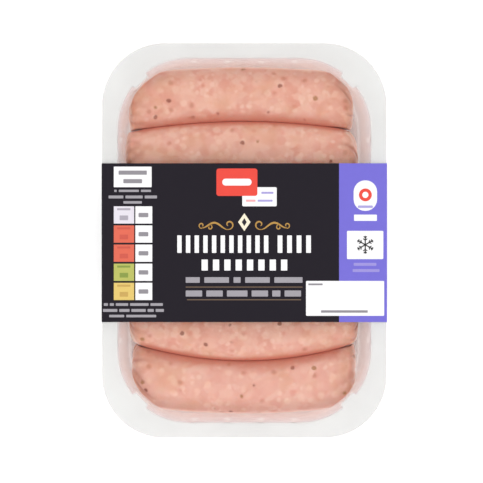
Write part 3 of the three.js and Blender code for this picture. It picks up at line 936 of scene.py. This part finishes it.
def make_sleeve(black, card, cut_edge, purple):
    points, faces = folded_sheet(SLEEVE_PATH, 0, -BOARD)
    outside, inside, edge = range(3)
    steps = (len(faces) - 2) // 4
    kinds = [outside, edge, inside, edge] * steps + [edge, edge]
    make_piece(
        "sleeve_board", points, faces, [black, card, cut_edge], ["sleeve"],
        face_materials=kinds, sharp=30,
    )
    points, faces = folded_sheet(PURPLE_PATH, INK, -SUNK)
    make_piece("print_purple_panel", points, faces, [purple], sharp=30)


# ---- the print ----
# Everything on the top panel is a thin closed plate over an outline. A layer is the
# heights of a plate's under and upper side.
ON_BOARD = (SLEEVE_TOP - SUNK, SLEEVE_TOP + INK)
ON_PANEL = (SLEEVE_TOP + SUNK, SLEEVE_TOP + 1.5 * INK)
ON_FIELD = (SLEEVE_TOP + SUNK, SLEEVE_TOP + 1.9 * INK)
ON_BADGE = (SLEEVE_TOP + 0.025, SLEEVE_TOP + 1.9 * INK)
ON_TOP = (SLEEVE_TOP + 0.03, SLEEVE_TOP + 2.3 * INK)
ARC_STEPS = 6
DISC_STEPS = 36
STROKE_STEPS = 30

TABLE_TOP = 16.4
TABLE_PITCH = 9.2
TABLE_CELL = 8.3
TABLE_LEFT = (-62.8, -53.0)
TABLE_RIGHT = (-52.4, -44.3)
TABLE_COLOURS = ("pale_lilac", "coral", "coral", "green", "yellow")

# Rows of plain blocks for the headings: left, right, top, bottom, how many, and the
# share of its room that a block takes up.
HEADING_ROWS = (
    (-33.3, 12.6, 2.4, -6.0, 11, 0.5),
    (14.9, 33.2, 2.4, -6.0, 4, 0.5),
    (-21.8, 21.9, -9.2, -14.5, 8, 0.55),
)
# Lines of small text: left, right, top, bottom, gap, and the words' lengths in proportion.
TEXT_LINES = (
    (-62.6, -44.9, 24.4, 23.3, 1.0, (1, 8, 4)),
    (-65.3, -42.0, 21.6, 20.2, 1.0, (6, 7, 5)),
    (-58.2, -49.3, 18.9, 17.7, 1.0, (1,)),
    (-67.6, -39.2, -30.2, -31.5, 0.9, (2, 2, 6, 9, 6)),
    (-68.0, -38.7, -33.0, -34.4, 0.9, (7, 5, 7, 3, 4)),
    (-65.0, -42.4, -35.8, -37.0, 1.0, (6, 12)),
    (-28.2, 28.0, -17.7, -20.4, 2.2, (4, 7, 2, 7, 8)),
    (-28.2, 27.3, -24.1, -27.0, 2.0, (4, 4, 5, 4, 2, 4)),
)


def box_outline(x0, y0, x1, y1, radius):
    """A box with round corners, anticlockwise."""
    radius = min(radius, (x1 - x0) / 2, (y1 - y0) / 2)
    outline = []
    centres = [(x1 - radius, y1 - radius), (x0 + radius, y1 - radius),
               (x0 + radius, y0 + radius), (x1 - radius, y0 + radius)]
    for quarter, (cx, cy) in enumerate(centres):
        for step in range(ARC_STEPS + 1):
            angle = (quarter + step / ARC_STEPS) * math.pi / 2
            outline.append((cx + radius * math.cos(angle), cy + radius * math.sin(angle)))
    return outline


def disc_outline(x, y, radius):
    angles = [2 * math.pi * k / DISC_STEPS for k in range(DISC_STEPS)]
    return [(x + radius * math.cos(a), y + radius * math.sin(a)) for a in angles]


def lozenge_outline(x, y, half_width, half_height):
    return [(x - half_width, y), (x, y - half_height), (x + half_width, y), (x, y + half_height)]


def plate(outline, low, high):
    """A thin closed prism over an outline."""
    count = len(outline)
    points = [(x, y, z) for z in (low, high) for x, y in outline]
    faces = [tuple(range(count - 1, -1, -1)), tuple(range(count, 2 * count))]
    for i in range(count):
        j = (i + 1) % count
        faces.append((i, j, count + j, count + i))
    return points, faces


def ribbon(line, widths, low, high):
    """A thin closed stroke along a line."""
    line = np.array(line, float)
    step = np.gradient(line, axis=0)
    sideways = np.stack([-step[:, 1], step[:, 0]], axis=1)
    sideways /= np.linalg.norm(sideways, axis=1)[:, None]
    half = np.array(widths)[:, None] / 2
    sections = [
        [(*left, low), (*left, high), (*right, high), (*right, low)]
        for left, right in zip(line + sideways * half, line - sideways * half)
    ]
    points, faces = closed_bar(sections)
    return points.tolist(), faces


def boxes(layer, *sizes, radius=0.3):
    """Plates over boxes given as (x0, y0, x1, y1)."""
    return [plate(box_outline(*size, radius), *layer) for size in sizes]


def heading_blocks():
    parts = []
    for left, right, top, bottom, count, share in HEADING_ROWS:
        pitch = (right - left) / count
        half = share * pitch / 2
        for k in range(count):
            middle = left + (k + 0.5) * pitch
            parts += boxes(ON_BOARD, (middle - half, bottom, middle + half, top), radius=0.2)
    return parts


def small_text():
    """The small white lines, dimmer than the fields because the type is thin."""
    parts = []
    for left, right, top, bottom, gap, lengths in TEXT_LINES:
        unit = (right - left - gap * (len(lengths) - 1)) / sum(lengths)
        x = left
        for length in lengths:
            parts += boxes(ON_BOARD, (x, bottom, x + length * unit, top), radius=0.25)
            x += length * unit + gap
    return parts


def table_row(k):
    top = TABLE_TOP - k * TABLE_PITCH
    return top, top - TABLE_CELL


def table_cell(k, column):
    top, bottom = table_row(k)
    return boxes(ON_BOARD, (column[0], bottom, column[1], top), radius=0.1)


def table_marks(k):
    """A short heading bar and a value bar in a cell of the table's left column."""
    top, bottom = table_row(k)
    heading = (-61.2, top - 1.9, -54.8, top - 0.9)
    value = (-60.0, bottom + 1.6, -55.9, bottom + 3.9)
    return boxes(ON_FIELD, heading, value, radius=0.2)


def white_fields():
    parts = boxes(ON_BOARD, (-62.8, 25.6, -44.6, 35.5))
    for k in range(len(TABLE_COLOURS)):
        parts += table_cell(k, TABLE_RIGHT)
    parts += boxes(ON_BOARD, (-1.0, 16.4, 15.6, 25.6), radius=0.6)
    parts += boxes(ON_PANEL, (49.4, -9.0, 66.9, 4.6), (29.7, -36.3, 67.3, -19.5), radius=0.5)
    parts += boxes(ON_PANEL, (52.6, 14.2, 63.9, 28.9), radius=5.5)
    parts += boxes(ON_PANEL, (52.8, 9.4, 63.8, 12.4))
    return parts


def grey_text():
    """Grey bars on the white fields."""
    parts = boxes(ON_FIELD, (-60.5, 31.6, -46.9, 33.6), (-58.2, 27.5, -49.2, 29.5))
    for k in range(len(TABLE_COLOURS)):
        middle = sum(table_row(k)) / 2
        parts += boxes(ON_FIELD, (-50.9, middle - 1.1, -46.2, middle + 1.0), radius=0.4)
    parts += boxes(ON_FIELD, (30.8, -21.6, 37.7, -20.7), (36.9, -34.8, 59.4, -33.6), radius=0.2)
    return parts


CURL_IN = 0.72  # share of its radius by which a curl winds in
THIN = 0.3  # breadth of a scroll's stroke at its ends


def curl(centre, radius, start, turns):
    """A line that winds in from an angle towards its centre."""
    line = []
    for k in range(STROKE_STEPS + 1):
        share = k / STROKE_STEPS
        angle = start + 2 * math.pi * turns * share
        reach = radius * (1 - CURL_IN * share)
        line.append((centre[0] + reach * math.cos(angle), centre[1] + reach * math.sin(angle)))
    return line


def scroll(side):
    """One of the two gold scrolls beside the lozenge: a wave and three curls."""
    wave = []
    for k in range(STROKE_STEPS + 1):
        share = k / STROKE_STEPS
        rise = 2.9 * math.sin(math.pi * share) ** 2
        wave.append((20.6 - 12.6 * share, 6.0 + rise - 0.8 * share))
    strokes = (
        (wave, 0.95),
        (curl((7.4, 7.6), 2.4, -math.pi / 2 + 0.3, -0.95), 0.75),
        (curl((20.5, 7.2), 1.5, -math.pi / 2, 0.9), 0.6),
        (curl((16.6, 6.3), 1.3, math.pi / 2, 0.9), 0.6),
    )
    parts = []
    for line, thick in strokes:
        middle_of = [math.sin(math.pi * k / STROKE_STEPS) for k in range(STROKE_STEPS + 1)]
        widths = [THIN + (thick - THIN) * share for share in middle_of]
        parts.append(ribbon([(side * x, y) for x, y in line], widths, *ON_BOARD))
    return parts


def snowflake(x, y, reach):
    """Six arms, each with two pairs of twigs."""
    arm_width, twig_width = 0.62, 0.496
    middle = np.array([x, y])
    parts = []
    for k in range(6):
        angle = math.radians(30 + 60 * k)
        arm = reach * np.array([math.cos(angle), math.sin(angle)])
        parts.append(ribbon([middle, middle + arm], [arm_width] * 2, *ON_FIELD))
        for share, twig in ((0.5, 0.3), (0.78, 0.24)):
            root = middle + arm * share
            for lean in (-50, 50):
                turn = angle + math.radians(lean)
                tip = root + reach * twig * np.array([math.cos(turn), math.sin(turn)])
                parts.append(ribbon([root, tip], [twig_width] * 2, *ON_FIELD))
    return parts


def make_prints(ink):
    lozenge, eye = lozenge_outline(0, 8.8, 3.0, 4.3), lozenge_outline(0, 8.8, 1.2, 1.9)
    disc, pupil = disc_outline(58.25, 21.9, 3.1), disc_outline(58.25, 21.9, 1.5)
    rules = ((-28.2, -22.7, 28.0, -22.2), (-27.6, -28.8, 27.3, -28.3))
    panel_lines = ((52.6, -12.2, 63.6, -10.8), (52.1, -15.2, 65.1, -13.8))
    prints = [
        ("white_fields", "white", white_fields()),
        ("heading", "white", heading_blocks()),
        ("small_text", "dim_white", small_text()),
        ("grey_text", "grey", grey_text()),
    ]
    for k, colour in enumerate(TABLE_COLOURS):
        prints.append((f"table_{k + 1}", colour, table_cell(k, TABLE_LEFT)))
        prints.append((f"table_marks_{k + 1}", f"{colour}_mark", table_marks(k)))
    prints += [
        ("red_badge", "red", boxes(ON_FIELD, (-13.4, 21.4, 6.3, 34.6), radius=1.2)),
        ("badge_stripe", "white", boxes(ON_TOP, (-10.6, 26.4, 3.5, 29.7), radius=1.6)),
        ("tag_lines", "lilac", boxes(ON_FIELD, (8.2, 22.4, 14.0, 23.4), (6.4, 18.6, 13.6, 19.6))),
        ("tag_pink_line", "pink", boxes(ON_FIELD, (0.8, 18.6, 5.4, 19.6))),
        ("lozenge", "cream", [plate(lozenge, *ON_BOARD)]),
        ("lozenge_eye", "black", [plate(eye, *ON_FIELD)]),
        ("scrolls", "gold", scroll(-1) + scroll(1)),
        ("rules", "dim_gold", boxes(ON_BOARD, *rules, radius=0.1)),
        ("badge_disc", "red", [plate(disc, *ON_BADGE)]),
        ("badge_eye", "white", [plate(pupil, *ON_TOP)]),
        ("badge_bar", "lilac", boxes(ON_BADGE, (54.6, 15.6, 61.9, 16.8), radius=0.5)),
        ("panel_lines", "pale_purple", boxes(ON_PANEL, *panel_lines, radius=0.4)),
        ("snowflake", "charcoal", snowflake(58.2, -2.1, 4.3)),
    ]
    for name, colour, parts in prints:
        points, faces = [], []
        for part_points, part_faces in parts:
            faces += [tuple(len(points) + k for k in face) for face in part_faces]
            points += part_points
        make_piece(f"print_{name}", points, faces, [ink[colour]], sharp=30)


# ---- light, floor and camera ----
CAMERA_HEIGHT = 1.4  # metres above the flange
SENSOR = 36.0
PIXELS = 483  # width of the photograph
PIXELS_PER_MM = 2.077  # measured on the flange
CAMERA_X = -1.35  # millimetres; the pack lies a little off the middle
CAMERA_Y = -0.53
FLOOR_HALF = 2.0  # metres
FLOOR_DROP = 0.0001
WORLD_LEVEL = 0.74
# Area lights, aimed at the pack: where from, breadth and length in metres, and power.
LIGHTS = {
    "light_far": ((0, 0.5, 0.5), (0.8, 0.4), 0.72),
    "light_near": ((0, -0.5, 0.5), (0.8, 0.4), 1.25),
    "light_left": ((-0.5, 0, 0.5), (0.4, 0.8), 1.2),
    "light_right": ((0.5, 0, 0.5), (0.4, 0.8), 1.2),
    "light_top": ((0, 0, 1.8), (1.2, 1.2), 1.0),
}


def add_area_light(name, place, size, power):
    light = bpy.data.lights.new(name, "AREA")
    light.shape = "RECTANGLE"
    light.size, light.size_y = size
    light.energy = power
    lamp = bpy.data.objects.new(name, light)
    lamp.location = place
    lamp.rotation_euler = (-Vector(place)).to_track_quat("-Z", "Y").to_euler()
    bpy.context.scene.collection.objects.link(lamp)


def add_world():
    world = bpy.data.worlds.new("studio")
    world.use_nodes = True
    background = world.node_tree.nodes["Background"]
    background.inputs["Color"].default_value = PURE_WHITE
    background.inputs["Strength"].default_value = WORLD_LEVEL
    bpy.context.scene.world = world


def add_floor():
    half = FLOOR_HALF
    square = [(-half, -half, 0), (half, -half, 0), (half, half, 0), (-half, half, 0)]
    mesh = bpy.data.meshes.new("floor")
    mesh.from_pydata(square, [], [(0, 1, 2, 3)])
    floor = bpy.data.objects.new("floor", mesh)
    floor.location.z = -FLOOR_DROP
    bpy.context.scene.collection.objects.link(floor)
    finish = Finish(
        "floor", Base_Color=(0.96, 0.96, 0.96, 1), Roughness=0.9, Specular_IOR_Level=0.1,
        Emission_Color=PURE_WHITE, Emission_Strength=0.28,
    )
    mesh.materials.append(finish.material)


def add_camera():
    camera = bpy.data.cameras.new("camera")
    camera.sensor_width = SENSOR
    frame_width = PIXELS / PIXELS_PER_MM * MM
    camera.lens = SENSOR * CAMERA_HEIGHT / frame_width
    holder = bpy.data.objects.new("camera", camera)
    holder.location = (CAMERA_X * MM, CAMERA_Y * MM, CAMERA_HEIGHT + FLANGE_TOP * MM)
    bpy.context.scene.collection.objects.link(holder)
    bpy.context.scene.camera = holder


bpy.context.scene.view_settings.view_transform = "Standard"
add_camera()
add_world()
for name, (place, size, power) in LIGHTS.items():
    add_area_light(name, place, size, power)
add_floor()

tray_material = clear_tray_finish()
film_material = clear_film_finish()
pork = raw_pork_finish()
black = printed_finish("print_black", seen(*BLACK), sheen=0.08)
card = card_finish()
cut_edge = printed_finish("board_cut_edge", seen(120, 112, 112), roughness=0.8)
ink = {name: printed_finish(f"ink_{name}", seen(*level)) for name, level in INK_LEVELS.items()}

make_tray(tray_material)
make_film(film_material)
for number in range(len(SAUSAGES)):
    make_sausage(number, pork)
make_sleeve(black, card, cut_edge, ink["purple"])
make_prints(ink)
